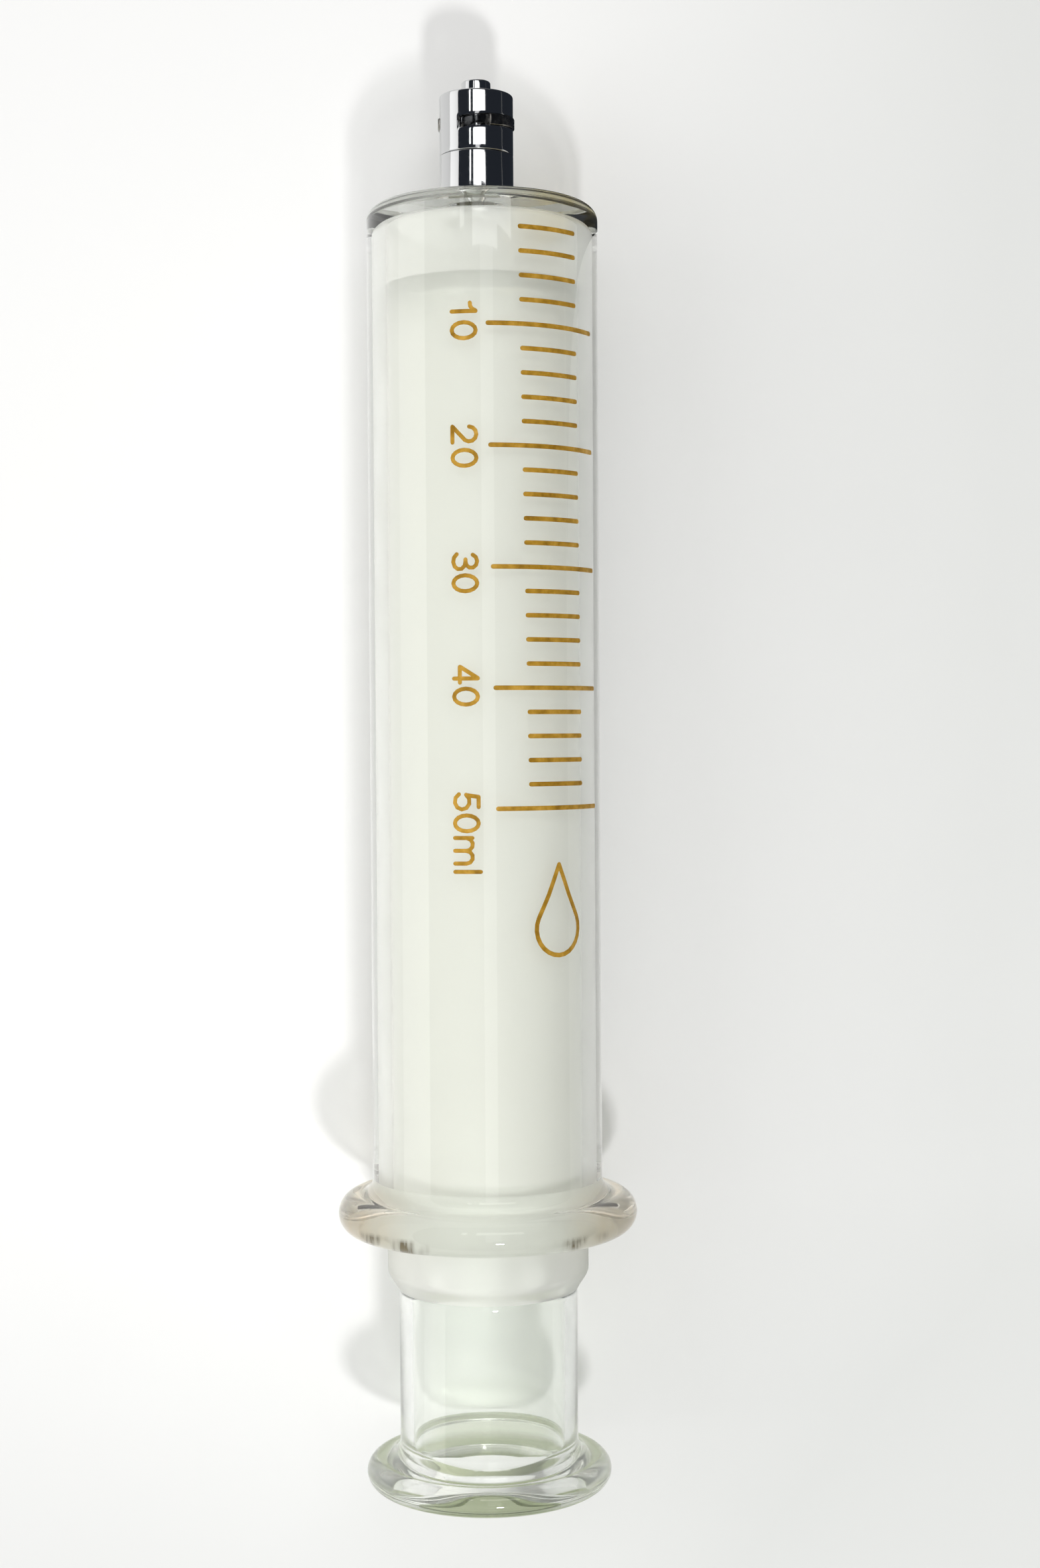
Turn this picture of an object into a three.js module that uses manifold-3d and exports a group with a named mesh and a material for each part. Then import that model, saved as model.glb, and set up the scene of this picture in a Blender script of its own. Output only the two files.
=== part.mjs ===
// A reusable 50 ml glass syringe: a barrel and a hollow plunger ground to fit each other, a plated
// metal locking tip cemented on the glass nozzle, and a fired scale. Lengths are in millimetres.
//
// The syringe lies on its side. Its axis runs along +Y with the tip forward, the scale faces up and
// to the right, and the origin is under the middle of its bounding box. Inside this file, y is
// counted from the barrel's open end, which is the back of its flange.
import * as THREE from 'three';
import { mergeVertices } from 'three/addons/utils/BufferGeometryUtils.js';
import { TessellateModifier } from 'three/addons/modifiers/TessellateModifier.js';
import Module from 'manifold-3d';

const wasm = await Module();
wasm.setup();

// ---- Driving dimensions -------------------------------------------------------------------------

// Barrel
const boreRadius = 14.09;
const barrelRadius = 16;
const barrelLength = 141.9;
const frontThickness = 2.4;
const frontEdgeRadius = 2;
const flangeRadius = 20.85;
const flangeThickness = 5.4;
const nozzleRadius = 3.5;
const nozzleLength = 5.8;
const channelRadius = 1;

// Plunger
const runningClearance = 0.06;
const plungerWall = 1.7;
const plungerBodyTail = 5.1; // how far the ground body stands out of the open end at rest
const shoulderLength = 3.6;
const neckRadius = 12.45;
const thumbFlangeRadius = 17.1;
const thumbFlangeThickness = 4;
const thumbFlangeBack = 35.6; // from the open end to the back of the thumb flange, at rest
const mouthRadius = 9.5;

// Scale
const mmPerMl = 1.60375;
const restVolume = 5.3;
const fullVolume = 50;
const markStep = 2;
const longMarkStep = 10;
const shortMarkAngles = [20, 53.5]; // degrees round from the top of the barrel
const longMarkAngles = [3.6, 67.5];
const printLean = 0.0155; // how far the marks creep back round the barrel per millimetre forward
const markWidth = 0.62;
const glyphWidth = 0.55;
const enamelThickness = 0.05;
const enamelGap = 0.04; // lifts the enamel clear of the faceted glass
const numeralBaseline = -14.8;
const emblemAngle = 38.5;

// Metal tip
const tipOffset = -0.7; // the nozzle stands a little off the barrel's axis
const tipRadius = 5.1;
const socketRadius = 4;
const ferruleLength = 7;
const collarLength = 8.25;
const coneLead = 2.05; // how far the cone stands out of the collar
const coneEndRadius = 2;
const coneTaper = 0.03; // growth of the radius for each millimetre back
const coneBoreRadius = 0.9;
const slotWidth = 1.6;
const slotAngles = [-29, 101];
const keyAngles = [22, 99];
const slotLead = 2; // axial rise of a slot in one full turn
const slotFromRim = 4.3;
const slotOvercut = 0.6; // how far the slot's cutter passes the collar's wall on both sides
const keyGap = 0.1; // what a key lacks of its slot's width
const keyReach = 0.5; // how far a key stands into the collar, as a thread ridge
const keyProud = 0.2; // how far a key stands out of the collar

// Gaps between fixed pieces, and the metal's edge chamfers
const seatGap = 0.1;
const seamGap = 0.05;
const hubGap = 0.3;
const cementInnerGap = 0.03;
const cementOuterGap = 0.04;
const collarChamfer = 0.25;
const ferruleChamfer = 0.15;
const cementChamfer = 0.1;

// Facets round the axis. Their flats face straight up and down, so that the flange rests on one.
const glassFacets = 40;
const metalFacets = 32;
const longestEnamelEdge = 1.6;

// ---- Stations along the axis --------------------------------------------------------------------

const boreEnd = barrelLength - frontThickness;
const plungerFront = boreEnd - restVolume * mmPerMl;
const plungerRadius = boreRadius - runningClearance;
const nozzleEnd = barrelLength + nozzleLength;
const ferruleStart = barrelLength + seatGap;
const ferruleEnd = ferruleStart + ferruleLength;
const collarStart = ferruleEnd + seamGap;
const collarEnd = collarStart + collarLength;
const coneEnd = collarEnd + coneLead;
const hubStart = nozzleEnd + hubGap;
const hubEnd = collarStart + 1;
const axisHeight = flangeRadius * Math.cos(Math.PI / glassFacets);

// ---- Shaping helpers ----------------------------------------------------------------------------

const point = (x, y) => new THREE.Vector2(x, y);
const radians = THREE.MathUtils.degToRad;

// Points on an arc from one angle to another, in degrees.
function arc(centreX, centreY, radius, from, to, steps, radiusY = radius) {
  return Array.from({ length: steps + 1 }, (_, i) => {
    const angle = radians(from + ((to - from) * i) / steps);
    return point(centreX + radius * Math.cos(angle), centreY + radiusY * Math.sin(angle));
  });
}

// A smooth step from one radius to another, level at both ends.
function ease(fromRadius, fromY, toRadius, toY, steps) {
  return Array.from({ length: steps + 1 }, (_, i) => {
    const t = i / steps;
    const blend = (1 - Math.cos(Math.PI * t)) / 2;
    return point(fromRadius + (toRadius - fromRadius) * blend, fromY + (toY - fromY) * t);
  });
}

// Turns a profile of radius and y round the axis. A ring's profile is closed by repeating its start.
function turned(profile, facets, isRing) {
  const points = isRing ? [...profile, profile[0]] : profile;
  return new THREE.LatheGeometry(points, facets, Math.PI / facets);
}

// Bends a flat piece round the axis: x becomes arc length at the radius, and z stands out from it.
function wrapped(geometry, radius) {
  const place = geometry.getAttribute('position');
  for (let i = 0; i < place.count; i += 1) {
    const angle = place.getX(i) / radius;
    const reach = radius + place.getZ(i);
    place.setXYZ(i, reach * Math.sin(angle), place.getY(i), reach * Math.cos(angle));
  }
  return geometry;
}

function solidOf(geometry) {
  const bare = geometry.clone();
  bare.deleteAttribute('normal');
  bare.deleteAttribute('uv');
  const merged = mergeVertices(bare, 1e-4);
  const triVerts = new Uint32Array(merged.index.array);
  const vertProperties = merged.getAttribute('position').array;
  return new wasm.Manifold(new wasm.Mesh({ numProp: 3, vertProperties, triVerts }));
}

function geometryOf(solid) {
  const mesh = solid.getMesh();
  const geometry = new THREE.BufferGeometry();
  geometry.setAttribute('position', new THREE.BufferAttribute(mesh.vertProperties, 3));
  geometry.setIndex(new THREE.BufferAttribute(mesh.triVerts, 1));
  return geometry;
}

// ---- Glass --------------------------------------------------------------------------------------

function barrelGeometry() {
  const edge = flangeThickness / 2;
  const rimCentre = flangeRadius - edge;
  const fillet = rimCentre - barrelRadius;
  const innerEdge = 1.2;
  const leadIn = 0.5;
  const tube = turned(
    [
      point(0, boreEnd),
      ...arc(boreRadius - innerEdge, boreEnd - innerEdge, innerEdge, 90, 0, 3),
      point(boreRadius, leadIn),
      point(boreRadius + leadIn, 0),
      ...arc(rimCentre, edge, edge, -90, 90, 6),
      ...arc(rimCentre, flangeThickness + fillet, fillet, -90, -180, 4).slice(1),
      ...arc(barrelRadius - frontEdgeRadius, barrelLength - frontEdgeRadius, frontEdgeRadius, 0, 90, 4),
      point(0, barrelLength),
    ],
    glassFacets,
    false,
  );
  const root = barrelLength - frontThickness / 2;
  const chamfer = 0.3;
  const nozzle = turned(
    [
      point(0, root),
      point(nozzleRadius, root),
      point(nozzleRadius, nozzleEnd - chamfer),
      point(nozzleRadius - chamfer, nozzleEnd),
      point(0, nozzleEnd),
    ],
    metalFacets,
    false,
  );
  const channel = turned(
    [
      point(0, boreEnd - 1),
      point(2 * channelRadius, boreEnd - 1),
      point(2 * channelRadius, boreEnd),
      point(channelRadius, boreEnd + 1),
      point(channelRadius, nozzleEnd + 1),
      point(0, nozzleEnd + 1),
    ],
    16,
    false,
  );
  const [stub, drill] = [nozzle, channel].map((piece) => solidOf(piece.translate(tipOffset, 0, 0)));
  return geometryOf(solidOf(tube).add(stub).subtract(drill));
}

function plungerGeometry() {
  const frontEdge = 0.8;
  const innerEdge = 2;
  const innerBody = plungerRadius - plungerWall;
  const innerNeck = neckRadius - plungerWall;
  const bodyEnd = -plungerBodyTail;
  const neckStart = bodyEnd - shoulderLength;
  const rim = thumbFlangeThickness / 2;
  const rimCentre = thumbFlangeRadius - rim;
  const rimY = -thumbFlangeBack + rim;
  const fillet = rimCentre - neckRadius;
  const filletY = -thumbFlangeBack + thumbFlangeThickness + fillet;
  const mouthEdge = 0.6;
  return turned(
    [
      point(0, plungerFront - plungerWall),
      ...arc(innerBody - innerEdge, plungerFront - plungerWall - innerEdge, innerEdge, 90, 0, 3),
      ...ease(innerBody, bodyEnd, innerNeck, neckStart, 4),
      ...ease(innerNeck, filletY, mouthRadius, rimY, 3),
      point(mouthRadius, -thumbFlangeBack + mouthEdge),
      point(mouthRadius + mouthEdge, -thumbFlangeBack),
      ...arc(rimCentre, rimY, rim, -90, 90, 6),
      ...arc(rimCentre, filletY, fillet, -90, -180, 4).slice(1),
      ...ease(neckRadius, neckStart, plungerRadius, bodyEnd, 4),
      ...arc(plungerRadius - frontEdge, plungerFront - frontEdge, frontEdge, 0, 90, 3),
      point(0, plungerFront),
    ],
    glassFacets,
    false,
  );
}

// ---- Metal tip ----------------------------------------------------------------------------------

// A plain ring with a small chamfer on its outer edges.
function ringGeometry(inner, outer, start, end, chamfer) {
  return turned(
    [
      point(inner, start),
      point(outer - chamfer, start),
      point(outer, start + chamfer),
      point(outer, end - chamfer),
      point(outer - chamfer, end),
      point(inner, end),
    ],
    metalFacets,
    true,
  );
}

// The cone and the hub that plugs the joint between ferrule and collar.
function coneGeometry() {
  const hubRadius = socketRadius - 0.04;
  const coneStart = hubEnd + 0.6;
  const tipEdge = 0.25;
  return turned(
    [
      point(coneBoreRadius, hubStart),
      point(hubRadius, hubStart),
      point(hubRadius, hubEnd),
      point(coneEndRadius + (coneEnd - coneStart) * coneTaper + 0.6, hubEnd),
      point(coneEndRadius + (coneEnd - coneStart) * coneTaper, coneStart),
      point(coneEndRadius, coneEnd - tipEdge),
      point(coneEndRadius - tipEdge, coneEnd),
      point(coneBoreRadius + tipEdge, coneEnd),
      point(coneBoreRadius, coneEnd - tipEdge),
    ],
    metalFacets,
    true,
  );
}

// A block that follows a slot of the collar, turned to one of its two places.
function slotBlock(angles, inner, outer, width, turn) {
  const radius = (inner + outer) / 2;
  const start = radians(angles[0]);
  const end = radians(angles[1]);
  const steps = Math.ceil((angles[1] - angles[0]) / (360 / metalFacets));
  const block = new THREE.BoxGeometry((end - start) * radius, width, outer - inner, steps, 1, 1);
  block.translate(((start + end) / 2) * radius, 0, 0);
  block.applyMatrix4(new THREE.Matrix4().makeShear(slotLead / (2 * Math.PI * radius), 0, 0, 0, 0, 0));
  block.translate(0, collarEnd - slotFromRim, 0);
  return wrapped(block, radius).rotateY(turn);
}

function ferruleGeometry() {
  return ringGeometry(socketRadius, tipRadius, ferruleStart, ferruleEnd, ferruleChamfer);
}

function cementGeometry() {
  const inner = nozzleRadius + cementInnerGap;
  const outer = socketRadius - cementOuterGap;
  return ringGeometry(inner, outer, ferruleStart + hubGap, nozzleEnd, cementChamfer);
}

function collarGeometry() {
  let collar = solidOf(ringGeometry(socketRadius, tipRadius, collarStart, collarEnd, collarChamfer));
  for (const turn of [0, Math.PI]) {
    const inner = socketRadius - slotOvercut;
    const cutter = slotBlock(slotAngles, inner, tipRadius + slotOvercut, slotWidth, turn);
    collar = collar.subtract(solidOf(cutter));
  }
  return geometryOf(collar);
}

function keyGeometry(turn) {
  const width = slotWidth - keyGap;
  return slotBlock(keyAngles, socketRadius - keyReach, tipRadius + keyProud, width, turn);
}

// ---- Fired enamel -------------------------------------------------------------------------------

// The outline of a pen stroke along a line of points, with round ends.
function strokeShape(line, width) {
  const half = width / 2;
  const heading = line.map((_, i) => {
    const before = line[Math.max(i - 1, 0)];
    const after = line[Math.min(i + 1, line.length - 1)];
    return Math.atan2(after.y - before.y, after.x - before.x);
  });
  const beside = (i, turn) => {
    const angle = heading[i] + turn;
    return point(line[i].x + half * Math.cos(angle), line[i].y + half * Math.sin(angle));
  };
  const last = line.length - 1;
  const endTurns = [-45, 0, 45].map(radians);
  return new THREE.Shape([
    ...line.map((_, i) => beside(i, -Math.PI / 2)),
    ...endTurns.map((turn) => beside(last, turn)),
    ...line.map((_, i) => beside(last - i, Math.PI / 2)),
    ...endTurns.map((turn) => beside(0, turn + Math.PI)),
  ]);
}

// Joins flat strokes into one piece and lays it on the barrel. x runs round the barrel from its top.
function enamelGeometry(lines, width) {
  const options = { depth: enamelThickness, bevelEnabled: false };
  const strokes = lines.map((line) => new THREE.ExtrudeGeometry(strokeShape(line, width), options));
  const joined = geometryOf(strokes.map(solidOf).reduce((sum, stroke) => sum.add(stroke)));
  const shrink = 0.25; // only the edges that run round the barrel need splitting
  joined.scale(1, shrink, 1);
  const split = new TessellateModifier(longestEnamelEdge, 12).modify(joined);
  split.scale(1, 1 / shrink, 1);
  return wrapped(split, barrelRadius + enamelGap);
}

const arcLength = (degrees) => radians(degrees) * (barrelRadius + enamelGap);
const scaleY = (volume) => boreEnd - volume * mmPerMl;

// A graduation line round the barrel: a strip of sections that narrow to round ends.
function markGeometry(volume) {
  const angles = volume % longMarkStep === 0 ? longMarkAngles : shortMarkAngles;
  const lean = printLean * (scaleY(fullVolume / 2) - scaleY(volume));
  const [start, end] = angles.map((angle) => arcLength(angle) + lean);
  const half = markWidth / 2;
  const roundEnd = [0.06, 0.4].map((depth) => {
    return { inset: depth * half, width: Math.sqrt(depth * (2 - depth)) };
  });
  const middleSteps = Math.ceil((end - start - markWidth) / longestEnamelEdge);
  const middle = Array.from({ length: middleSteps + 1 }, (_, i) => {
    return { x: start + half + ((end - start - markWidth) * i) / middleSteps, width: 1 };
  });
  const sections = [
    ...roundEnd.map(({ inset, width }) => ({ x: start + inset, width })),
    ...middle,
    ...roundEnd.map(({ inset, width }) => ({ x: end - inset, width })).reverse(),
  ];
  const steps = sections.length - 1;
  const strip = new THREE.BoxGeometry(steps, markWidth, enamelThickness, steps, 1, 1);
  strip.translate(steps / 2, 0, enamelThickness / 2);
  const place = strip.getAttribute('position');
  for (let i = 0; i < place.count; i += 1) {
    const section = sections[Math.round(place.getX(i))];
    place.setXY(i, section.x, scaleY(volume) + place.getY(i) * section.width);
  }
  return wrapped(strip, barrelRadius + enamelGap);
}

// Strokes of each glyph: x along the line of writing, y up from the baseline, between line centres.
const digitWidth = 2.1;
const digitHeight = 3.2;
const glyphs = {
  0: [
    arc(1.05, 1.6, 1.05, 90, 270, 8, 1.6),
    arc(1.05, 1.6, 1.05, -90, 90, 8, 1.6),
  ],
  1: [
    [point(1.25, 0), point(1.25, digitHeight)],
    [point(0.15, 2.45), point(0.6, 2.5), point(0.95, 2.75), point(1.2, digitHeight)],
  ],
  2: [
    [...arc(1.02, 2.25, 0.98, 180, -35, 7, 0.95), point(0.05, 0.05)],
    [point(0, 0), point(digitWidth, 0)],
  ],
  3: [
    arc(0.95, 2.42, 0.88, 165, -90, 7, 0.78),
    arc(0.95, 0.84, 1.05, 90, -155, 7, 0.84),
    [point(0.7, 1.66), point(1.1, 1.66)],
  ],
  4: [
    [point(1.5, digitHeight), point(0, 0.85)],
    [point(0, 0.8), point(digitWidth, 0.8)],
    [point(1.55, digitHeight), point(1.55, 0)],
  ],
  5: [
    [point(0.4, digitHeight), point(1.75, digitHeight)],
    [point(0.4, digitHeight), point(0.15, 1.55)],
    arc(1, 1, 1.06, 148, -155, 8, 1),
  ],
  m: [
    [point(0, 0), point(0, 2.35)],
    [...arc(0.86, 1.55, 0.84, 170, 0, 5), point(1.7, 0)],
    [...arc(2.56, 1.55, 0.84, 180, 0, 5), point(3.4, 0)],
  ],
  l: [[point(0, 0), point(0, 3.45)]],
};

// A glyph on the barrel, reading away from the tip, with its top towards the marks.
function glyphGeometry(name, start) {
  const baseline = arcLength(numeralBaseline) + glyphWidth / 2;
  const turnedLine = (line) => line.map((p) => point(baseline + p.y, start - p.x));
  return enamelGeometry(glyphs[name].map(turnedLine), glyphWidth);
}

// Each number: its glyphs, with the distance of each one's first stroke centre from its long mark.
const numbers = [
  { volume: 10, glyphs: [['1', 2.8], ['0', 0.1]] },
  { volume: 20, glyphs: [['2', 2.45], ['0', -0.65]] },
  { volume: 30, glyphs: [['3', 1.65], ['0', -1.15]] },
  { volume: 40, glyphs: [['4', 2.8], ['0', -0.1]] },
  { volume: 50, glyphs: [['5', 2.0], ['0', -0.85], ['m', -3.85], ['l', -8.35]] },
];

// A plain liquid drop in outline, point towards the tip.
function dropGeometry() {
  const centre = point(arcLength(emblemAngle), scaleY(fullVolume) - 16.2);
  const radius = 3.6;
  const height = 8.6; // from the centre of the round end to the point
  const belly = arc(centre.x, centre.y, radius, -90, 25, 8);
  const half = [...belly, point(centre.x + 1.75, centre.y + 4.5), point(centre.x, centre.y + height)];
  const mirrored = half.map((p) => point(2 * centre.x - p.x, p.y));
  return enamelGeometry([half, mirrored], markWidth);
}

// ---- Materials ----------------------------------------------------------------------------------

function material(color, roughness, metalness) {
  return new THREE.MeshStandardMaterial({ color, roughness, metalness });
}

const groundGlass = () => material(0xdfe4dc, 0.45, 0);
const chrome = () => material(0xc4c8ce, 0.12, 1);
const keySteel = () => material(0x4a4d52, 0.35, 1);
const cement = () => material(0xb7b2a4, 0.9, 0);
const enamel = () => material(0xb57a1c, 0.4, 0);

// ---- Assembly -----------------------------------------------------------------------------------

const syringe = new THREE.Group();
syringe.position.set(0, (thumbFlangeBack - coneEnd) / 2, axisHeight);
const tip = new THREE.Group();
tip.position.x = tipOffset;
syringe.add(tip);

function addPiece(name, geometry, finish, group = syringe) {
  geometry.deleteAttribute('uv');
  geometry.computeVertexNormals();
  const mesh = new THREE.Mesh(geometry, finish);
  mesh.name = name;
  group.add(mesh);
}

addPiece('barrel', barrelGeometry(), groundGlass());
addPiece('plunger', plungerGeometry(), groundGlass());
addPiece('base_ferrule', ferruleGeometry(), chrome(), tip);
addPiece('nozzle_cement', cementGeometry(), cement(), tip);
addPiece('luer_cone', coneGeometry(), chrome(), tip);
addPiece('lock_collar', collarGeometry(), chrome(), tip);
addPiece('lock_thread_key_1', keyGeometry(0), keySteel(), tip);
addPiece('lock_thread_key_2', keyGeometry(Math.PI), keySteel(), tip);

for (let volume = markStep; volume <= fullVolume; volume += markStep) {
  addPiece(`mark_${String(volume).padStart(2, '0')}_ml`, markGeometry(volume), enamel());
}

for (const { volume, glyphs: written } of numbers) {
  for (const [i, [glyph, offset]] of written.entries()) {
    const name = `numeral_${volume}_${i + 1}_${glyph}`;
    addPiece(name, glyphGeometry(glyph, scaleY(volume) + offset), enamel());
  }
}

addPiece('drop_emblem', dropGeometry(), enamel());

const part = new THREE.Group();
part.add(syringe);
export default part;
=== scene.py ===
"""Looks for the reusable glass syringe: clear and ground glass, a bright plated tip and a fired scale.

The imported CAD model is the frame. The glass and metal nodes are hidden, and finer pieces stand for
them. The profiles are in millimetres and start from the CAD boxes of the nodes they replace.
"""

import math

import bmesh
import bpy
from mathutils import Matrix, Vector


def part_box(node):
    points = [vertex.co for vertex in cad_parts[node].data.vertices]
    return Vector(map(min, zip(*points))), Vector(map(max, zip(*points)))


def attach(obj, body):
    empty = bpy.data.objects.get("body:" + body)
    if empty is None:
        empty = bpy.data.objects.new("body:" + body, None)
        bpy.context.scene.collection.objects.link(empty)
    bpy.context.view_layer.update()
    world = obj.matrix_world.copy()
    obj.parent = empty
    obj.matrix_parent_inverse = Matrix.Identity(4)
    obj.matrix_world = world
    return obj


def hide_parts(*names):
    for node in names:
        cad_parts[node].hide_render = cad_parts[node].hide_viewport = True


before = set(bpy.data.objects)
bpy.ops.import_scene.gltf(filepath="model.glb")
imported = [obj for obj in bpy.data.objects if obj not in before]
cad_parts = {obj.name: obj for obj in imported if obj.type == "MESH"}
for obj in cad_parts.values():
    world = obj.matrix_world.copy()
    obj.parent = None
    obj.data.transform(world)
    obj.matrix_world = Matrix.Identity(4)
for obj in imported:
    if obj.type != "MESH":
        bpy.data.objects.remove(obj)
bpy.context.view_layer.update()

# ---- Sizes, in millimetres --------------------------------------------------------------------------

MM = 0.001
CAD_FACETS = 40  # a CAD box is measured across flats, so a true radius is a little larger
SEGMENTS = 192

BARREL_RADIUS = 16.0
BORE_RADIUS = 14.09
FRONT_THICKNESS = 2.4
FRONT_EDGE = 2.0
FLANGE_THICKNESS = 5.4
NOZZLE_RADIUS = 3.5
NOZZLE_LENGTH = 5.8
CHANNEL_RADIUS = 1.0

PLUNGER_RADIUS = 14.03
PLUNGER_WALL = 1.7
NECK_RADIUS = 12.45
BODY_TAIL = 5.1  # the ground body stands this far out of the barrel at rest
SHOULDER_LENGTH = 3.6
THUMB_THICKNESS = 4.0
THUMB_RADIUS = 17.1
MOUTH_RADIUS = 9.5

TIP_RADIUS = 5.1
SOCKET_RADIUS = 4.0
CONE_RADIUS = 2.0
CONE_TAPER = 0.03
CONE_BORE = 0.9
SLOT_WIDTH = 1.6
SLOT_FROM_RIM = 4.3
SLOT_ANGLES = (-29.0, 101.0)
KEY_ANGLES = (22.0, 99.0)
SLOT_LEAD = 2.0

# The nozzle stands off the axis. The front glass shifts by all of that inside the first radius, and by
# none of it outside the second.
LEAN_INSIDE = 5.0
LEAN_OUTSIDE = 11.0

# ---- Stations from the frame ------------------------------------------------------------------------

barrel_low, barrel_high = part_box("barrel")
plunger_low, plunger_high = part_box("plunger")
ferrule_low, ferrule_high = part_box("base_ferrule")
collar_low, collar_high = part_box("lock_collar")
cone_low, cone_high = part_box("luer_cone")

MOUTH_Y = barrel_low.y
AXIS_Z = (barrel_low.z + barrel_high.z) / 2
TIP_X = (collar_low.x + collar_high.x) / 2
FLANGE_RADIUS = (barrel_high.x - barrel_low.x) / 2 / MM / math.cos(math.pi / CAD_FACETS)


def station(y):
    """A frame y as millimetres forward of the barrel's mouth."""
    return (y - MOUTH_Y) / MM


NOZZLE_END = station(barrel_high.y)
FRONT_FACE = NOZZLE_END - NOZZLE_LENGTH
BORE_END = FRONT_FACE - FRONT_THICKNESS
PLUNGER_FRONT = station(plunger_high.y)
THUMB_BACK = station(plunger_low.y)
SEAM_BACK = station(ferrule_high.y)
SEAM_FRONT = station(collar_low.y)
COLLAR_END = station(collar_high.y)
SLOT_Y = COLLAR_END - SLOT_FROM_RIM


# ---- Mesh building ----------------------------------------------------------------------------------


def arc(centre_r, centre_y, radius, start, end, steps):
    """Points (r, y) on an arc. Angles are in degrees from +r towards +y."""
    angles = [math.radians(start + (end - start) * i / steps) for i in range(steps + 1)]
    return [(centre_r + radius * math.cos(a), centre_y + radius * math.sin(a)) for a in angles]


def ease(r0, y0, r1, y1, steps):
    """A smooth change of radius, level at both ends."""
    points = []
    for i in range(steps + 1):
        t = i / steps
        points.append((r0 + (r1 - r0) * (1 - math.cos(math.pi * t)) / 2, y0 + (y1 - y0) * t))
    return points


def run(r0, y0, r1, y1, steps):
    """Evenly spaced points on a straight line."""
    return [(r0 + (r1 - r0) * i / steps, y0 + (y1 - y0) * i / steps) for i in range(steps + 1)]


def finish_mesh(name, bm, materials, body, replaced):
    """Closes the mesh data into an object that rides on a body and stands for CAD nodes."""
    bmesh.ops.recalc_face_normals(bm, faces=bm.faces)
    for face in bm.faces:
        face.smooth = True
    mesh = bpy.data.meshes.new(name)
    bm.to_mesh(mesh)
    bm.free()
    for material in materials:
        mesh.materials.append(material)
    obj = bpy.data.objects.new(name, mesh)
    bpy.context.scene.collection.objects.link(obj)
    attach(obj, body)
    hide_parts(*replaced)
    return obj


def lathe(sections, centre_x=0.0, lean=None, segments=SEGMENTS):
    """Turns a profile round the syringe's axis.

    sections is a list of (points, material index); each starts where the last one ends. The profile
    closes on itself, or starts and ends on the axis. lean(r, y) gives a sideways shift in millimetres.
    """
    profile, indices = [], []
    for points, index in sections:
        for point in points:
            if profile and math.dist(point, profile[-1]) < 1e-4:
                continue
            profile.append(point)
            indices.append(index)
    on_axis = profile[0][0] < 1e-6
    bm = bmesh.new()
    rings = []
    for r, y in profile:
        x = centre_x + (lean(r, y) if lean else 0.0) * MM
        if r < 1e-6:
            rings.append([bm.verts.new((x, MOUTH_Y + y * MM, AXIS_Z))])
            continue
        ring = []
        for i in range(segments):
            a = 2 * math.pi * i / segments
            place = (x + r * MM * math.sin(a), MOUTH_Y + y * MM, AXIS_Z + r * MM * math.cos(a))
            ring.append(bm.verts.new(place))
        rings.append(ring)
    links = len(rings) - 1 if on_axis else len(rings)
    for k in range(links):
        a, b = rings[k], rings[(k + 1) % len(rings)]
        index = indices[(k + 1) % len(rings)]
        for i in range(segments):
            j = (i + 1) % segments
            if len(a) == 1:
                face = bm.faces.new((a[0], b[i], b[j]))
            elif len(b) == 1:
                face = bm.faces.new((a[i], a[j], b[0]))
            else:
                face = bm.faces.new((a[i], a[j], b[j], b[i]))
            face.material_index = index
    mark_creases(bm, 25)
    return bm


def mark_creases(bm, degrees):
    """Marks edges sharper than the angle, so that smooth shading stops there."""
    bmesh.ops.recalc_face_normals(bm, faces=bm.faces)
    limit = math.radians(degrees)
    for edge in bm.edges:
        edge.smooth = edge.calc_face_angle(0.0) < limit


# ---- Materials --------------------------------------------------------------------------------------


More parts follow.
